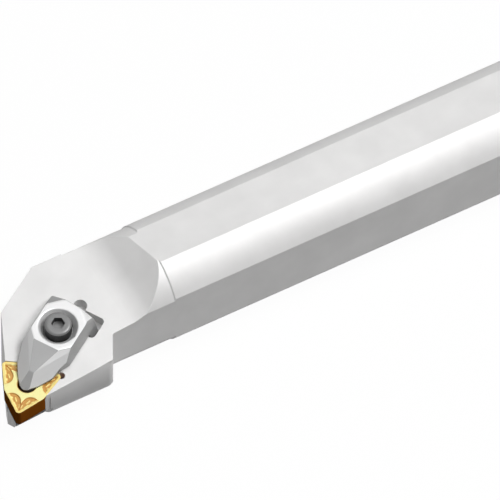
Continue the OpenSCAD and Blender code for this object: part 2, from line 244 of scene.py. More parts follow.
@dataclass(frozen=True)
class Coating:
    """A gold coating painted with light and shade: its colour runs from pale on lit lands to brown on shaded
    flanks, following an attribute that the insert stores.
    """

    name: str = "gold_coating"
    # Pale yellow for lit faces through amber to dark brown for shaded ones: painted light and shade.
    stops: tuple[tuple[float, tuple[float, float, float]], ...] = (
        (0.0, (1.0, 0.95, 0.43)),
        (0.15, (0.96, 0.76, 0.25)),
        (0.5, (0.60, 0.29, 0.06)),
        (0.85, (0.42, 0.155, 0.016)),
        (1.0, (0.39, 0.112, 0.01)),
    )
    rough: tuple[float, float] = (0.32, 0.42)
    specular: float = 0.4
    cloud_scale: float = 1600.0
    cloud_tone: float = 0.03
    grain_scale: float = 7000.0
    grain_height: float = 3e-7
    bump_strength: float = 0.2

    def material(self) -> bpy.types.Material:
        """Builds the material.

        Returns:
            The procedural coating.
        """
        tree = ShaderTree(self.name)
        # The insert's stored painted light and shade, with a little random cloudiness added.
        painted_light = tree.add("ShaderNodeAttribute", attribute_name="painted_light").outputs["Fac"]
        clouds = tree.spread(tree.noise(EVEN, self.cloud_scale, 3.0), -self.cloud_tone, self.cloud_tone)
        mixed = tree.add("ShaderNodeMath", operation="ADD")
        tree.link(painted_light, mixed.inputs[0])
        tree.link(clouds, mixed.inputs[1])
        colours = tree.add("ShaderNodeValToRGB")
        while len(colours.color_ramp.elements) < len(self.stops):
            colours.color_ramp.elements.new(1.0)
        for element, (place, colour) in zip(colours.color_ramp.elements, self.stops):
            element.position, element.color = place, (*colour, 1.0)
        tree.link(mixed.outputs[0], colours.inputs["Fac"])
        tree.link(colours.outputs["Color"], tree.shader.inputs["Base Color"])
        grain = tree.noise(EVEN, self.grain_scale, 2.0)
        tree.link(tree.spread(grain, *self.rough), tree.shader.inputs["Roughness"])
        tree.shader.inputs["Specular IOR Level"].default_value = self.specular
        tree.bump(grain, self.bump_strength, self.grain_height)
        return tree.material


def link_mesh(name: str, mesh: bpy.types.Mesh) -> bpy.types.Object:
    """Makes an object at the origin for a mesh.

    Args:
        name: Name of the piece.
        mesh: Its mesh, in place.

    Returns:
        The linked object.
    """
    piece = bpy.data.objects.new(name, mesh)
    bpy.context.scene.collection.objects.link(piece)
    return piece


def bake(piece: bpy.types.Object) -> None:
    """Turns a piece's modifiers into a plain mesh and removes them.

    Args:
        piece: The piece.
    """
    bpy.context.view_layer.update()
    graph = bpy.context.evaluated_depsgraph_get()
    mesh = bpy.data.meshes.new_from_object(piece.evaluated_get(graph))
    piece.modifiers.clear()
    old, piece.data = piece.data, mesh
    mesh.name = piece.name
    bpy.data.meshes.remove(old)


def cover(piece: bpy.types.Object, *materials: bpy.types.Material) -> None:
    """Gives a piece some materials in place of any that it has.

    Args:
        piece: The piece.
        *materials: Its new materials, in order.
    """
    piece.data.materials.clear()
    for material in materials:
        piece.data.materials.append(material)


def aimed(target: Vector, toward: Vector, far: float) -> Matrix:
    """Place of a lamp or camera that looks at a target.

    Args:
        target: The point that it looks at.
        toward: Direction from the target to it.
        far: Its distance from the target.

    Returns:
        Its transform.
    """
    way = toward.normalized()
    return Matrix.Translation(target + way * far) @ way.to_track_quat("Z", "Y").to_matrix().to_4x4()


class Value:
    """A number in a Geometry Nodes tree that takes plain arithmetic."""

    def __init__(self, socket: bpy.types.NodeSocket) -> None:
        """Holds a node's output."""
        self.socket = socket
        self.tree = socket.id_data

    def math(self, operation: str, *others: "Value | float", clamp: bool = False) -> "Value":
        """Adds a Math node that starts from this value.

        Args:
            operation: Blender's name of the operation.
            *others: The other operands.
            clamp: Whether the result stays between zero and one.

        Returns:
            The result.
        """
        node = self.tree.nodes.new("ShaderNodeMath")
        node.operation, node.use_clamp = operation, clamp
        for place, value in enumerate((self, *others)):
            if isinstance(value, Value):
                self.tree.links.new(value.socket, node.inputs[place])
            else:
                node.inputs[place].default_value = value
        return Value(node.outputs[0])

    def __add__(self, other: "Value | float") -> "Value":
        """Sum."""
        return self.math("ADD", other)

    def __sub__(self, other: "Value | float") -> "Value":
        """Difference."""
        return self.math("SUBTRACT", other)

    def __rsub__(self, other: float) -> "Value":
        """Difference from a number."""
        return self.math("MULTIPLY_ADD", -1.0, other)

    def __mul__(self, other: "Value | float") -> "Value":
        """Product."""
        return self.math("MULTIPLY", other)

    def __truediv__(self, other: "Value | float") -> "Value":
        """Quotient."""
        return self.math("DIVIDE", other)

    def part(self, first: float, last: float) -> "Value":
        """Share of the way from one value to another, held between zero and one."""
        return ((self - first) / (last - first)).math("ADD", 0.0, clamp=True)

    def soft(self) -> "Value":
        """Smooth step from zero to one over the same range."""
        held = self.math("ADD", 0.0, clamp=True)
        return held * held * (held * -2.0 + 3.0)

    def length(self, other: "Value") -> "Value":
        """Length of the diagonal of two values."""
        return (self * self + other * other).math("SQRT")


class NodeShape:
    """A Geometry Nodes tree with named inputs, applied to an empty piece and baked to a plain mesh."""

    def __init__(self, name: str) -> None:
        """Starts a tree.

        Args:
            name: Name of the tree.
        """
        self.tree = bpy.data.node_groups.new(name, "GeometryNodeTree")
        self.tree.interface.new_socket("Geometry", in_out="OUTPUT", socket_type="NodeSocketGeometry")
        self.inner = self.tree.nodes.new("NodeGroupInput")
        self.sizes: dict[str, object] = {}
        self.material = self._input("Material", "NodeSocketMaterial", None)

    def _input(self, name: str, kind: str, value: object) -> bpy.types.NodeSocket:
        """Adds a named input.

        Args:
            name: Its name.
            kind: Blender's name of the socket type.
            value: What the modifier sets it to.

        Returns:
            The input as the tree's nodes see it.
        """
        item = self.tree.interface.new_socket(name, in_out="INPUT", socket_type=kind)
        self.sizes[item.identifier] = value
        return next(out for out in self.inner.outputs if out.identifier == item.identifier)

    def size(self, name: str, value: float) -> Value:
        """Adds a named size."""
        return Value(self._input(name, "NodeSocketFloat", value))

    def count(self, name: str, value: int) -> bpy.types.NodeSocket:
        """Adds a named whole number."""
        return self._input(name, "NodeSocketInt", value)

    def node(self, kind: str, settings: dict[str, object] | None = None, **values: object) -> bpy.types.Node:
        """Adds a node and feeds its inputs.

        Args:
            kind: Blender's name of the node type.
            settings: Attributes to set on the node.
            **values: Inputs by name, with underscores for spaces, as sockets, values or numbers.

        Returns:
            The new node.
        """
        made = self.tree.nodes.new(kind)
        for key, value in (settings or {}).items():
            setattr(made, key, value)
        for key, value in values.items():
            target = next(i for i in made.inputs if i.name == key.replace("_", " ") and i.enabled)
            if isinstance(value, Value):
                value = value.socket
            if isinstance(value, bpy.types.NodeSocket):
                self.tree.links.new(value, target)
            else:
                target.default_value = value
        return made

    def piece(
        self, name: str, geometry: bpy.types.NodeSocket, finish: bpy.types.Material, place: Matrix
    ) -> bpy.types.Object:
        """Ends the tree and makes the piece.

        Args:
            name: Name of the piece.
            geometry: The tree's last geometry.
            finish: Material of the piece.
            place: Transform from the piece's axes to the bar's, in metres.

        Returns:
            The piece, with a plain mesh in place.
        """
        real = self.node("GeometryNodeRealizeInstances", Geometry=geometry)
        dressed = self.node("GeometryNodeSetMaterial", Geometry=real.outputs[0], Material=self.material)
        out = self.tree.nodes.new("NodeGroupOutput")
        self.tree.links.new(dressed.outputs[0], out.inputs[0])
        made = link_mesh(name, bpy.data.meshes.new(name))
        modifier = made.modifiers.new("rule", "NODES")
        modifier.node_group = self.tree
        for identifier, value in self.sizes.items():
            modifier[identifier] = finish if value is None else value
        bake(made)
        made.data.transform(place @ Matrix.Scale(MM, 4))
        made.data.shade_smooth()
        return made


class TrueNormals:
    """Shades a reworked copy of a solid with the solid's own exact normals."""

    agree = 0.9
    toward_middle = 0.03
    stray = 0.001 * MM

    def __init__(self, solid: bpy.types.Mesh) -> None:
        """Reads the solid.

        Args:
            solid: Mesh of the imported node.
        """
        solid.calc_loop_triangles()
        self.corners = [corner.vector.copy() for corner in solid.corner_normals]
        self.places = [vert.co.copy() for vert in solid.vertices]
        self.triangles = [(tuple(tri.vertices), tuple(tri.loops)) for tri in solid.loop_triangles]
        self.search = BVHTree.FromPolygons(self.places, [verts for verts, _ in self.triangles])

    def at(self, point: Vector, usual: Vector) -> Vector:
        """Normal of the solid near a point.

        Args:
            point: A point on the surface.
            usual: Normal of the copy's face there.

        Returns:
            The solid's normal, or the face's own where the two disagree.
        """
        spot, _, index, _ = self.search.find_nearest(point)
        verts, loops = self.triangles[index]
        normal = barycentric_transform(
            spot, *(self.places[i] for i in verts), *(self.corners[i] for i in loops)
        ).normalized()
        return normal if normal @ usual > self.agree else usual.copy()

    def pull_in(self, mesh: bpy.types.Mesh) -> None:
        """Moves the points of a copy that stick out of the solid back onto it.

        Args:
            mesh: Mesh of the copy.
        """
        for vert in mesh.vertices:
            spot, normal, _, gap = self.search.find_nearest(vert.co)
            if gap > self.stray and (vert.co - spot) @ normal > 0.0:
                vert.co = spot

    def shade(self, mesh: bpy.types.Mesh, broken: int) -> None:
        """Sets a copy's normals: exact on its faces, and blended over its broken edges.

        Args:
            mesh: Mesh of the copy.
            broken: Material index that marks the faces of broken edges.
        """
        mesh.shade_smooth()
        normals = [Vector() for _ in mesh.loops]
        shared: dict[int, list[Vector]] = {}
        for face in mesh.polygons:
            if face.material_index == broken:
                continue
            for loop in face.loop_indices:
                vert = mesh.loops[loop].vertex_index
                near = mesh.vertices[vert].co.lerp(face.center, self.toward_middle)
                normals[loop] = self.at(near, face.normal)
                shared.setdefault(vert, []).append(normals[loop])
        for face in mesh.polygons:
            if face.material_index == broken:
                for loop in face.loop_indices:
                    vert = mesh.loops[loop].vertex_index
                    beside = sum(shared.get(vert, []), Vector())
                    blend = beside if beside.length > 0.0 else mesh.vertex_normals[vert].vector
                    normals[loop] = blend.normalized()
        mesh.normals_split_custom_set(normals)


@dataclass
class EdgeBreak:
    """Gives a copy of a solid softly broken edges; `wide` may give single edges another width."""

    width: float
    angle: float = 18.0
    segments: int = 3
    flat: float = 0.6
    merge: float = 0.002 * MM
    in_line: float = 0.85
    share: float = 0.42
    reshape: Callable[[bmesh.types.BMesh], None] | None = None
    wide: Callable[[bmesh.types.BMEdge], float] | None = None
    # When set, the rounded-edge faces keep their own material index, for a painted highlight.
    highlight_edge_faces: bool = False

    def sharp(self, edge: bmesh.types.BMEdge) -> bool:
        """Whether an edge turns enough to be rounded."""
        return len(edge.link_faces) == 2 and edge.calc_face_angle() > math.radians(self.angle)

    def fitting(self, edge: bmesh.types.BMEdge) -> float:
        """Width for an edge that leaves room beside the edges that cross its ends.

        Args:
            edge: A sharp edge.

        Returns:
            The width in metres.
        """
        width = (self.wide(edge) if self.wide else 0.0) or self.width
        for vert in edge.verts:
            way = (vert.co - edge.other_vert(vert).co).normalized()
            for other in vert.link_edges:
                away = other.other_vert(vert).co - vert.co
                if other is not edge and abs(away.normalized() @ way) < self.in_line:
                    width = min(width, self.share * away.length)
        return width

    def copy_of(self, node: str, name: str) -> bpy.types.Object:
        """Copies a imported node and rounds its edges.

        Args:
            node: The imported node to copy.
            name: Name of the new piece.

        Returns:
            The piece, with a plain mesh.
        """
        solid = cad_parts[node].data
        mesh = solid.copy()
        mesh.materials.clear()
        for _ in range(2):
            mesh.materials.append(None)
        work = bmesh.new()
        work.from_mesh(mesh)
        bmesh.ops.remove_doubles(work, verts=work.verts, dist=self.merge)
        bmesh.ops.dissolve_limit(
            work, angle_limit=math.radians(self.flat), verts=work.verts, edges=work.edges, delimit=set()
        )
        if self.reshape:
            self.reshape(work)
        weights = work.edges.layers.float.new("bevel_weight_edge")
        widths = {edge: self.fitting(edge) for edge in work.edges if self.sharp(edge)}
        widest = max(widths.values())
        for edge, width in widths.items():
            edge[weights] = width / widest
        for face in work.faces:
            face.material_index = 0
        work.to_mesh(mesh)
        work.free()
        piece = link_mesh(name, mesh)
        bevel = piece.modifiers.new("broken edges", "BEVEL")
        bevel.width, bevel.segments = widest, self.segments
        bevel.limit_method, bevel.use_clamp_overlap = "WEIGHT", False
        bevel.miter_outer = "MITER_ARC"
        bevel.material = 1
        bake(piece)
        exact = TrueNormals(solid)
        exact.pull_in(piece.data)
        exact.shade(piece.data, broken=1)
        if not self.highlight_edge_faces:
            for face in piece.data.polygons:
                face.material_index = 0
        piece.data.materials.clear()
        return piece


def dress(piece: bpy.types.Object, body: Body, slot: Slot, *nodes: str) -> None:
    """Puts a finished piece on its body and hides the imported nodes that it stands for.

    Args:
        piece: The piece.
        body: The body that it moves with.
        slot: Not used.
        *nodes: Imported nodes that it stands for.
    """
    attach(piece, body.value)
    if nodes:
        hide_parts(*nodes)
    log.info("%s rides on %s: %d faces", piece.name, body.value, len(piece.data.polygons))


@dataclass
class Seat:
    """Axes of the tilted seat: the insert's top plane, with its sharp corner at zero."""

    corner: Vector = field(default_factory=lambda: Vector((-200.0953, -17.0646, 0.0)) * MM)
    axial_tilt: float = 6.0
    radial_tilt: float = 9.55
    insert_spot: Vector = field(default_factory=lambda: Vector((5.330, 5.147, 0.0)) * MM)
    insert_turn: float = 224.0
    screw_spot: Vector = field(default_factory=lambda: Vector((16.4, 11.55, 0.0)) * MM)
    clamp_turn: float = -149.95

    def matrix(self) -> Matrix:
        """Works out where the seat is.

        Returns:
            Transform from the seat's axes to the bar's.
        """
        tilt = Matrix.Rotation(math.radians(-self.axial_tilt), 4, "Y")
        roll = Matrix.Rotation(math.radians(self.radial_tilt), 4, "X")
        return Matrix.Translation(self.corner) @ tilt @ roll

    def on_seat(self, spot: Vector, turn: float) -> Matrix:
        """Transform to the bar's axes from axes at a spot of the seat, turned by some degrees."""
        return self.matrix() @ Matrix.Translation(spot) @ Matrix.Rotation(math.radians(turn), 4, "Z")

    def at_insert(self) -> Matrix:
        """Transform from the insert's axes, with X toward the nose, to the bar's."""
        return self.on_seat(self.insert_spot, self.insert_turn)

    def at_clamp(self) -> Matrix:
        """Transform from the clamp screw's axes, with X toward the insert, to the bar's."""
        return self.on_seat(self.screw_spot, self.clamp_turn)


@dataclass
class Thread:
    """A right-hand thread: a root cylinder with a helical ridge, from a height upward."""

    root_r: float = 1.22
    crest_r: float = 1.5
    pitch: float = 0.5
    steps: int = 48
    sharp: float = 40.0
    finish: Finish = BLACKED

    def piece(self, name: str, low: float, high: float, place: Matrix) -> bpy.types.Object:
        """Makes the thread.

        Args:
            name: Name of the piece.
            low: Height of its lower end.
            high: Height of its upper end.
            place: Transform from the screw's axes to the bar's.

        Returns:
            The piece.
        """
        shape = NodeShape("screw thread")
        root, crest = shape.size("Root radius", self.root_r), shape.size("Crest radius", self.crest_r)
        pitch, start = shape.size("Pitch", self.pitch), shape.size("Lower end", low)
        reach = shape.size("Length", high - low - self.pitch)
        steps = shape.count("Steps a turn", self.steps)
        # The ridge's section is a triangle, one and a half of its outer radius high
        ridge_r = (crest - root) / 1.5
        coil = shape.node(
            "GeometryNodeCurveSpiral",
            Resolution=steps,
            Rotations=reach / pitch,
            Start_Radius=crest - ridge_r,
            End_Radius=crest - ridge_r,
            Height=reach,
        )
        upright = shape.node("GeometryNodeSetCurveNormal", {"mode": "Z_UP"}, Curve=coil.outputs[0])
        crown = shape.node("GeometryNodeCurvePrimitiveCircle", Resolution=3, Radius=ridge_r).outputs[0]
        ridge = shape.node(
            "GeometryNodeCurveToMesh", Curve=upright.outputs[0], Profile_Curve=crown, Fill_Caps=True
        )
        rise = shape.node("ShaderNodeCombineXYZ", Z=start + pitch / 2.0)
        lifted = shape.node("GeometryNodeTransform", Geometry=ridge.outputs[0], Translation=rise.outputs[0])
        core = shape.node("GeometryNodeMeshCylinder", Vertices=self.steps, Radius=root, Depth=reach + pitch)
        middle = shape.node("ShaderNodeCombineXYZ", Z=start + (reach + pitch) / 2.0)
        core_up = shape.node(
            "GeometryNodeTransform", Geometry=core.outputs["Mesh"], Translation=middle.outputs[0]
        )
        both = shape.node("GeometryNodeJoinGeometry", Geometry=lifted.outputs[0])
        shape.tree.links.new(core_up.outputs[0], both.inputs[0])
        made = shape.piece(name, both.outputs[0], self.finish.material(), place)
        made.data.set_sharp_from_angle(angle=math.radians(self.sharp))
        return made


@dataclass
class ChipFormer:
    """The insert as a rule: a trigon outline round its hole, with a chip groove beside each cutting edge.

    Lengths are in millimetres. Places are along the cutting edge and in from it: the lobe's centre with its
    radius, and a rib's two ends with its half width. The stored painted light and shade runs from 0, the
    pale lit land, to 1, the brown shaded flank.
    """

    half_corner: float = 40.0
    inscribed: float = 9.525
    thick: float = 4.76
    nose: float = 0.8
    hole_r: float = 1.905
    mouth_r: float = 2.2
    mouth_deep: float = 0.55
    lip: float = 0.06
    land: float = 0.36
    deep: float = 0.26
    around: int = 576
    wall_steps: int = 3
    mouth_steps: int = 6
    face_steps: int = 60
    lip_steps: int = 5
    flank_steps: int = 2
    lobe: tuple[float, float, float] = (3.45, 0.3, 1.9)
    notch: tuple[float, float] = (2.25, 1.86)
    notch_rise: float = 0.283
    ribs: tuple[tuple[float, float, float, float, float], ...] = (
        (3.05, 1.15, 3.85, 1.3, 0.24),
        (2.15, 0.62, 2.95, 0.64, 0.22),
        (4.1, 0.72, 4.35, 0.66, 0.3),
        (1.5, 0.98, 2.1, 1.32, 0.16),
    )
    groove_wall: float = 0.24
    rim_start: float = 0.7
    rim_fade: float = 0.2
    land_slope: float = 0.45
    crease_half: float = 0.17
    crease_deep: float = 0.25
    rib_high: float = 0.45
    strip_fade: tuple[float, float, float] = (0.12, 5.3, 0.3)
    strip_tone: float = 0.15
    bed_shade: float = 0.48
    rim_shade_strength: float = 0.34
    crease_shade: float = 0.22
    rib_highlight: float = 0.42
    throat_shade: float = 0.93
    closer: float = 0.75
    merge: float = 0.0005
    flank_lean: float = 0.4

    def outline(self, turn: Value, inscribed: Value, nose: Value) -> tuple[Value, Value, Value]:
        """Radius of the trigon at an angle from its nearest corner.

        Args:
            turn: Angle from the corner in radians, never negative.
            inscribed: Diameter of the circle that touches the edges.
            nose: Nose radius.

        Returns:
            The radius, the sharp corner's distance and the nose centre's distance.
        """
        half, rest = math.radians(self.half_corner), math.radians(90.0 - self.half_corner)
        corner = inscribed / (2.0 * math.sin(half))
        centre = corner - nose / math.sin(half)
        straight = inscribed / 2.0 / (turn - rest).math("COSINE")
        side = centre * turn.math("SINE")
        round_end = centre * turn.math("COSINE") + (nose * nose - side * side).math("SQRT")
        rise, run = nose * math.sin(rest), centre + nose * math.cos(rest)
        at_nose = turn.math("LESS_THAN", rise.math("ARCTAN2", run))
        return straight + (round_end - straight) * at_nose, corner, centre

    def build(self, name: str, place: Matrix) -> bpy.types.Object:
        """Makes the insert.

        Args:
            name: Name of the piece.
            place: Transform from the insert's axes to the bar's.

        Returns:
            The piece.
        """
        shape = NodeShape("chip former")
        inscribed = shape.size("Inscribed circle", self.inscribed)
        thick, nose = shape.size("Thickness", self.thick), shape.size("Nose radius", self.nose)
        hole, mouth = shape.size("Hole radius", self.hole_r), shape.size("Mouth radius", self.mouth_r)
        mouth_deep, lip = shape.size("Mouth depth", self.mouth_deep), shape.size("Edge radius", self.lip)
        land, deep = shape.size("Land", self.land), shape.size("Groove depth", self.deep)
        steps = (self.wall_steps, self.mouth_steps, self.face_steps, self.lip_steps, self.flank_steps)
        across = sum(steps)
        grid = shape.node(
            "GeometryNodeMeshGrid",
            Size_X=1.0,
            Size_Y=1.0,
            Vertices_X=shape.count("Steps around", self.around + 1),
            Vertices_Y=shape.count("Steps across", across + 1),
        )
        position = shape.node("GeometryNodeInputPosition").outputs[0]
        on_grid = shape.node("ShaderNodeSeparateXYZ", Vector=position)
        u, v = Value(on_grid.outputs[0]) + 0.5, (Value(on_grid.outputs[1]) + 0.5) * float(across)
        starts = [sum(steps[:i]) for i in range(len(steps) + 1)]
        wall, throat, face, edge, flank = (v.part(starts[i], starts[i + 1]) for i in range(len(steps)))

        # Each third of the turn runs from one blunt corner to the next, closest at its cutting corner
        sector = (u * 3.0).math("FLOOR").math("MINIMUM", 2.0)
        swing = (u * 3.0 - sector) * 2.0 - 1.0
        near = swing.math("ABSOLUTE")
        turn = near * (near * (1.0 - self.closer) + self.closer) * math.radians(60.0)
        side_of = swing.math("SIGN")
        heading = (turn * side_of + sector * math.radians(120.0)) * -1.0
        reach, corner, centre = self.outline(turn, inscribed, nose)

        quarter = math.pi / 2.0
        opening = 1.0 - (throat * quarter).math("COSINE")
        rho = hole + (mouth - hole) * opening + (reach - lip - mouth) * face
        rho = rho + lip * (edge * quarter).math("SINE")
        height = (
            (thick * 0.5 - mouth_deep) * wall
            + mouth_deep * (throat * quarter).math("SINE")
            - lip * (1.0 - (edge * quarter).math("COSINE"))
            - (thick * 0.5 - lip) * flank
        )

        # Distances from the sharp corner along the cutting edge and in from it
        ahead, aside = rho * turn.math("COSINE"), rho * turn.math("SINE")
        half = math.radians(self.half_corner)
        cos_half, sin_half = math.cos(half), math.sin(half)
        along = (corner - ahead) * cos_half + aside * sin_half
        inward = inscribed * 0.5 - ahead * sin_half - aside * cos_half
        round_in = nose - (ahead - centre).length(aside)
        beyond = (aside * sin_half).math("LESS_THAN", (ahead - centre) * cos_half)
        from_rim = inward + (round_in - inward) * beyond

        lobe_s, lobe_e, lobe_r = self.lobe
        disc = lobe_r - (along - lobe_s).length(inward - lobe_e)
        notch_s, notch_e = self.notch
        wedge = ((along - notch_s) * self.notch_rise + notch_e - inward).math("MINIMUM", lobe_s - along)
        inside = disc.math("MAXIMUM", wedge)
        wall_rise = (inside / self.groove_wall).soft()
        bed = wall_rise * ((from_rim - land) / self.land_slope).soft()
        off_land = ((from_rim - land * self.rim_start) / self.rim_fade).soft()
        rim_shade = wall_rise * (1.0 - wall_rise) * 4.0 * off_land
        crease = (1.0 - aside / self.crease_half).soft() * bed
        ribs = bed * 0.0
        for s0, e0, s1, e1, half_width in self.ribs:
            ds, de = s1 - s0, e1 - e0
            reached = ((along - s0) * ds + (inward - e0) * de) / (ds * ds + de * de)
            share = reached.math("ADD", 0.0, clamp=True)
            gap = (along - s0 - share * ds).length(inward - e0 - share * de)
            ribs = ribs.math("MAXIMUM", (1.0 - gap / half_width).soft())
        ribs = ribs * bed
        height = height - deep * (bed - ribs * self.rib_high + crease * self.crease_deep)

        # The coating's painted light and shade: darker in the groove bed, on its rim and in the crease,
        # lighter on the ribs, darker along a strip of the land, brown over the edge's rounding and in the
        # hole's mouth.
        across_fade, strip_end, end_fade = self.strip_fade
        strip = (1.0 - (from_rim - land) / across_fade).soft() * face
        strip = strip * (1.0 - (along - strip_end) / end_fade).soft()
        painted_light = strip * self.strip_tone + bed * self.bed_shade + rim_shade * self.rim_shade_strength
        painted_light = painted_light + crease * self.crease_shade - ribs * self.rib_highlight
        painted_light = painted_light + (1.0 - painted_light) * edge.math("POWER", 5.0)
        painted_light = painted_light + (self.throat_shade - painted_light) * (1.0 - throat * throat)
        spot = shape.node(
            "ShaderNodeCombineXYZ",
            X=rho * heading.math("COSINE"),
            Y=rho * heading.math("SINE"),
            Z=height,
        )
        marked = shape.node(
            "GeometryNodeStoreNamedAttribute",
            {"data_type": "FLOAT", "domain": "POINT"},
            Geometry=grid.outputs["Mesh"],
            Name="painted_light",
            Value=painted_light,
        )
        placed = shape.node("GeometryNodeSetPosition", Geometry=marked.outputs[0], Position=spot.outputs[0])
        flipped = shape.node("GeometryNodeTransform", Geometry=placed.outputs[0], Scale=(1.0, 1.0, -1.0))
        turned = shape.node("GeometryNodeFlipFaces", Mesh=flipped.outputs[0])
        both = shape.node("GeometryNodeJoinGeometry", Geometry=placed.outputs[0])
        shape.tree.links.new(turned.outputs[0], both.inputs[0])
        closed = shape.node("GeometryNodeMergeByDistance", Geometry=both.outputs[0], Distance=self.merge)
        middle = place @ Matrix.Translation((0.0, 0.0, -self.thick / 2.0 * MM))
        gold, matt = Coating().material(), Coating("flank_coating", specular=0.0).material()
        made = shape.piece(name, closed.outputs[0], gold, middle)
        cover(made, gold, matt)
        up = place.to_3x3().col[2]
        for part in made.data.polygons:
            part.material_index = int(abs(part.normal @ up) < self.flank_lean)
        return made


@dataclass
class BarBody:
    """The turned and milled steel bar."""

    swell_r: float = 14.1
    swell_offset: float = 2.3
    swell_end: float = 25.65
    bar_l: float = 200.0
    side_flat: float = 11.0
    rear_turn: float = 28.7
    rear_edge: float = 1.1 * MM
    fade_low: float = -10.9
    fade_rise: float = 2.4
    fade_least: float = 0.07
    near: float = 0.05
    edges: float = 0.08 * MM

    def edge_width(self, edge: bmesh.types.BMEdge) -> float:
        """Width of the rounding on the swell's rear edge, and nothing elsewhere.

        Args:
            edge: An edge of the bar.

        Returns:
            The width in metres, or zero for the usual one.
        """
        turn = math.radians(self.rear_turn)
        middle = (edge.verts[0].co.z + edge.verts[1].co.z) / 2 / MM
        fade = min(max((middle - self.fade_low) / self.fade_rise, self.fade_least), 1.0)
        for vert in edge.verts:
            x, y, z = vert.co / MM
            off_axis = math.hypot(y + self.swell_offset, z)
            from_end, from_flat = x + self.bar_l - self.swell_end, y + self.side_flat
            behind = from_end * math.cos(turn) - from_flat * math.sin(turn)
            if abs(off_axis - self.swell_r) > self.near or abs(behind) > self.near:
                return 0.0
        return self.rear_edge * fade

    def build(self) -> None:
        """Dresses the bar."""
        piece = EdgeBreak(self.edges, wide=self.edge_width).copy_of("bar_body", "turned_bar")
        cover(piece, BAR_STEEL.material())
        dress(piece, Body.BAR, Slot.BAR_STEEL, "bar_body")


@dataclass
class CuttingEnd:
    """The insert, its shim and the shim's screw."""

    seat: Seat = field(default_factory=Seat)
    edges: EdgeBreak = field(default_factory=lambda: EdgeBreak(0.05 * MM, 30.0))

    def build(self) -> None:
        """Dresses the insert, the shim and the screw."""
        insert = ChipFormer().build("coated_insert", self.seat.at_insert())
        dress(insert, Body.BAR, Slot.CARBIDE, "cutting_insert")
        shim = self.edges.copy_of("shim", "seat_shim")
        cover(shim, SHIM_STEEL.material())
        dress(shim, Body.BAR, Slot.SHIM, "shim")
        screw = self.edges.copy_of("shim_screw", "countersunk_screw")
        cover(screw, BLACKED.material())
        dress(screw, Body.BAR, Slot.BLACK, "shim_screw")


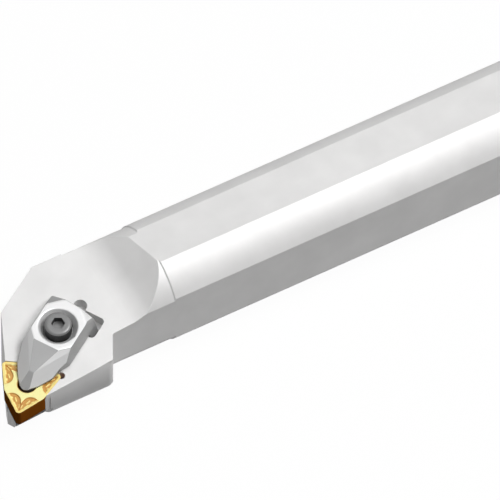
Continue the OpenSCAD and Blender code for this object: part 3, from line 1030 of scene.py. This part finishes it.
@dataclass
class ClampSet:
    """The hooked clamp, its screw and its lifting spring.

    Sizes are in millimetres in the clamp screw's axes, with X toward the insert, apart from the edge widths.
    """

    seat: Seat = field(default_factory=Seat)
    dish_r: float = 4.1
    floor_r: float = 3.05
    top: float = 4.0
    dish_deep: float = 1.4
    dish_rings: int = 9
    near: float = 0.02
    head_seat: float = 2.2
    under_head: float = 0.3
    shaft_low: float = -11.8
    shaft_gap: float = 0.05
    shaft_lift: float = 0.02
    upright: float = 0.35
    clamp_edge: float = 0.22 * MM
    screw_edge: float = 0.06 * MM
    rear_edge: float = 0.45 * MM
    rear_x: float = 1.0
    rear_low: float = 0.5
    rim_width: float = 0.9
    edge_area: float = 0.3
    top_band: float = 0.05
    corner_lean: float = 0.7
    cheek_lean: tuple[float, float] = (0.3, 0.5)
    thread: Thread = field(default_factory=Thread)

    def edge_width(self, edge: bmesh.types.BMEdge) -> float:
        """Width of the rounding on the clamp's rear edges, away from its dish, and nothing elsewhere.

        Args:
            edge: An edge of the clamp.

        Returns:
            The width in metres, or zero for the usual one.
        """
        x, y, z = self.seat.at_clamp().inverted() @ ((edge.verts[0].co + edge.verts[1].co) / 2) / MM
        rear = x < self.rear_x and z > self.rear_low
        return self.rear_edge if rear and math.hypot(x, y) > self.dish_r + self.rim_width else 0.0

    def light_and_shade_index(self, face: bpy.types.MeshPolygon) -> int:
        """Which painted light or shade a face of the clamp gets.

        Args:
            face: The face.

        Returns:
            1 for the painted highlight on the top, dish, rear corner and small edge faces, 2 for the painted
            light on the cheeks, or 0 for the darker steel that paints shade on the rest.
        """
        local = self.seat.at_clamp().inverted()
        x, y, z = local @ face.center / MM
        _, across, up = local.to_3x3() @ face.normal
        top, dish = self.top - self.top_band, self.top - self.dish_deep - self.top_band
        if z > top or math.hypot(x, y) < self.dish_r and z > dish:
            return 1
        if x < 0.0 and y > 0.0 and up > self.corner_lean:
            return 1
        least_across, least_up = self.cheek_lean
        if x > 0.0 and abs(across) > least_across and up > least_up:
            return 2
        return 1 if face.material_index and face.area < self.edge_area * MM * MM else 0

    def hollow(self, work: bmesh.types.BMesh) -> None:
        """Turns the clamp's straight dish into a bowl.

        Args:
            work: Mesh of the clamp.
        """
        back = self.seat.at_clamp()
        local = back.inverted()
        rim_z, floor_z = self.top * MM, (self.top - self.dish_deep) * MM

        def ring(vert: bmesh.types.BMVert) -> int:
            """Finds the dish's ring that a vertex is on.

            Args:
                vert: A vertex of the clamp.

            Returns:
                1 for the floor, 2 for the rim, or 0.
            """
            x, y, z = local @ vert.co
            r = math.hypot(x, y) / MM
            if abs(r - self.floor_r) < self.near and abs(z - floor_z) < self.near * MM:
                return 1
            return 2 if abs(r - self.dish_r) < self.near and abs(z - rim_z) < self.near * MM else 0

        sloped = [edge for edge in work.edges if {ring(vert) for vert in edge.verts} == {1, 2}]
        made = bmesh.ops.subdivide_edges(work, edges=sloped, cuts=self.dish_rings, use_grid_fill=True)
        for vert in {item for item in made["geom_inner"] if isinstance(item, bmesh.types.BMVert)}:
            x, y, z = local @ vert.co
            turn = (z - floor_z) / (rim_z - floor_z) * math.pi / 2
            scale = (self.floor_r + (self.dish_r - self.floor_r) * math.sin(turn)) * MM / math.hypot(x, y)
            rise = (rim_z - floor_z) * (1 - math.cos(turn))
            vert.co = back @ Vector((x * scale, y * scale, floor_z + rise))

    def slim(self, work: bmesh.types.BMesh) -> None:
        """Draws the screw's shaft in to the root of its thread.

        Args:
            work: Mesh of the screw.
        """
        back = self.seat.at_clamp()
        local = back.inverted()
        scale = (self.thread.root_r - self.shaft_gap) / self.thread.crest_r
        for vert in work.verts:
            x, y, z = local @ vert.co
            if z < (self.head_seat - self.under_head) * MM and math.hypot(x, y) > 0.1 * MM:
                vert.co = back @ Vector((x * scale, y * scale, z + self.shaft_lift * MM))

    def build_clamp(self) -> None:
        """Dresses the clamp, with its rounded edges kept apart for a painted highlight and its faces sorted
        into painted light and shade.
        """
        edges = EdgeBreak(
            self.clamp_edge, 12.0, 4, reshape=self.hollow, wide=self.edge_width, highlight_edge_faces=True
        )
        clamp = edges.copy_of("clamp", "hooked_clamp")
        cover(clamp, CLAMP_STEEL.material(), PAINTED_HIGHLIGHT.material(), PAINTED_LIT_CHEEK.material())
        # Lit and shaded copies of one steel: painted highlights, painted light on the cheeks, painted shade
        # elsewhere.
        for face in clamp.data.polygons:
            face.material_index = self.light_and_shade_index(face)
        dress(clamp, Body.CLAMP, Slot.CLAMP_STEEL, "clamp")

    def build_screw(self) -> None:
        """Dresses the screw, whose upright faces get a near-black painted shade, and adds its thread."""
        screw = EdgeBreak(self.screw_edge, 30.0, reshape=self.slim).copy_of("clamp_screw", "socket_screw")
        cover(screw, BLACKED.material(), PAINTED_SHADE_SIDE.material())
        along = self.seat.at_clamp().to_3x3().col[2]
        for face in screw.data.polygons:
            face.material_index = int(abs(face.normal @ along) < self.upright)
        dress(screw, Body.SCREW, Slot.BLACK, "clamp_screw")
        thread = self.thread.piece("screw_thread", self.shaft_low, self.head_seat, self.seat.at_clamp())
        dress(thread, Body.SCREW, Slot.BLACK)

    def build(self) -> None:
        """Dresses the clamp and the screw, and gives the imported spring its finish."""
        self.build_clamp()
        self.build_screw()
        cover(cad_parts["clamp_spring"], SPRING.material())


@dataclass(frozen=True)
class Lamp:
    """A soft round lamp that hangs in a direction from the point aimed at, with its power in watts."""

    name: str
    toward: tuple[float, float, float]
    size: float
    power: float
    far: float = 1.2


@dataclass
class Studio:
    """Floor, world, lamps and camera."""

    aim: Vector = field(default_factory=lambda: Vector((-143.38, -13.2, 14.13)) * MM)
    toward_camera: Vector = field(default_factory=lambda: Vector((-0.3251, -0.5605, 0.7617)))
    camera_far: float = 4.511
    lens: float = 1600.0
    sensor: float = 36.0
    clip: tuple[float, float] = (0.1, 20.0)
    floor_z: float = -11.55 * MM
    floor_half: float = 3.0
    floor_white: float = 0.97
    floor_pale: tuple[float, float] = (0.12, 0.95)
    ambient: float = 0.03
    lamps: tuple[Lamp, ...] = (
        Lamp("overhead_lamp", (0.2, -0.2, 0.96), 1.1, 6.8),
        Lamp("front_lamp", (0.37, -0.37, 0.85), 0.6, 8.0),
        Lamp("left_lamp", (-0.5, -0.1, 0.86), 0.6, 1.4),
    )

    def build_world(self) -> None:
        """Makes an even world, dim as a light, and white to the camera and in reflections."""
        world = bpy.data.worlds.new("studio")
        world.use_nodes = True
        tree = world.node_tree
        tree.nodes.clear()
        out = tree.nodes.new("ShaderNodeOutputWorld")
        mix = tree.nodes.new("ShaderNodeMixShader")
        soft, white = tree.nodes.new("ShaderNodeBackground"), tree.nodes.new("ShaderNodeBackground")
        soft.inputs["Strength"].default_value = self.ambient
        white.inputs["Strength"].default_value = 1.0
        for background in (soft, white):
            background.inputs["Color"].default_value = (1.0, 1.0, 1.0, 1.0)
        tree.links.new(self.seen(tree), mix.inputs["Fac"])
        tree.links.new(soft.outputs[0], mix.inputs[1])
        tree.links.new(white.outputs[0], mix.inputs[2])
        tree.links.new(mix.outputs[0], out.inputs["Surface"])
        bpy.context.scene.world = world

    @staticmethod
    def seen(tree: bpy.types.NodeTree) -> bpy.types.NodeSocket:
        """Adds a switch that is one for camera, glossy and transmission rays.

        Args:
            tree: The node tree to add to.

        Returns:
            The switch's output.
        """
        path = tree.nodes.new("ShaderNodeLightPath")
        first, both = (tree.nodes.new("ShaderNodeMath") for _ in range(2))
        first.operation = both.operation = "MAXIMUM"
        tree.links.new(path.outputs["Is Camera Ray"], first.inputs[0])
        tree.links.new(path.outputs["Is Glossy Ray"], first.inputs[1])
        tree.links.new(first.outputs[0], both.inputs[0])
        tree.links.new(path.outputs["Is Transmission Ray"], both.inputs[1])
        return both.outputs[0]

    def build_floor(self) -> None:
        """Makes the pale floor, white to the camera and in reflections, which keeps a faint shadow."""
        half = self.floor_half
        corners = ((-half, -half), (half, -half), (half, half), (-half, half))
        mesh = bpy.data.meshes.new("floor")
        mesh.from_pydata([(x, y, self.floor_z) for x, y in corners], [], [(0, 1, 2, 3)])
        floor = link_mesh("floor", mesh)
        material = bpy.data.materials.new("pale_floor")
        material.use_nodes = True
        tree = material.node_tree
        tree.nodes.clear()
        out = tree.nodes.new("ShaderNodeOutputMaterial")
        mix, scale = tree.nodes.new("ShaderNodeMixShader"), tree.nodes.new("ShaderNodeMath")
        scale.operation = "MULTIPLY"
        scale.inputs[1].default_value = self.floor_white
        matt, white = tree.nodes.new("ShaderNodeBsdfDiffuse"), tree.nodes.new("ShaderNodeEmission")
        pale = tree.nodes.new("ShaderNodeMapRange")
        pale.inputs["To Min"].default_value, pale.inputs["To Max"].default_value = self.floor_pale
        tree.links.new(self.seen(tree), pale.inputs["Value"])
        tree.links.new(pale.outputs[0], matt.inputs["Color"])
        tree.links.new(self.seen(tree), scale.inputs[0])
        tree.links.new(scale.outputs[0], mix.inputs["Fac"])
        tree.links.new(matt.outputs[0], mix.inputs[1])
        tree.links.new(white.outputs[0], mix.inputs[2])
        tree.links.new(mix.outputs[0], out.inputs["Surface"])
        mesh.materials.append(material)

    def build_lamps(self) -> None:
        """Hangs the soft lamps."""
        for lamp in self.lamps:
            light = bpy.data.lights.new(lamp.name, "AREA")
            light.shape, light.size, light.energy = "DISK", lamp.size, lamp.power
            holder = bpy.data.objects.new(lamp.name, light)
            holder.matrix_world = aimed(self.aim, Vector(lamp.toward), lamp.far)
            bpy.context.scene.collection.objects.link(holder)
            log.info("%s hung", lamp.name)

    def build_camera(self) -> None:
        """Sets a long lens at the photograph's viewing angle."""
        data = bpy.data.cameras.new("view")
        data.lens, data.sensor_width = self.lens, self.sensor
        data.clip_start, data.clip_end = self.clip
        camera = bpy.data.objects.new("view", data)
        camera.matrix_world = aimed(self.aim, self.toward_camera, self.camera_far)
        bpy.context.scene.collection.objects.link(camera)
        bpy.context.scene.camera = camera

    def build(self) -> None:
        """Builds the whole studio."""
        bpy.context.scene.view_settings.view_transform = "Standard"
        self.build_world()
        self.build_floor()
        self.build_lamps()
        self.build_camera()


def main() -> None:
    """Builds the camera and studio first, then each sub-assembly."""
    logging.basicConfig(level=logging.INFO, format="%(name)s: %(message)s")
    Studio().build()
    BarBody().build()
    CuttingEnd().build()
    ClampSet().build()


if __name__ == "__main__":
    main()
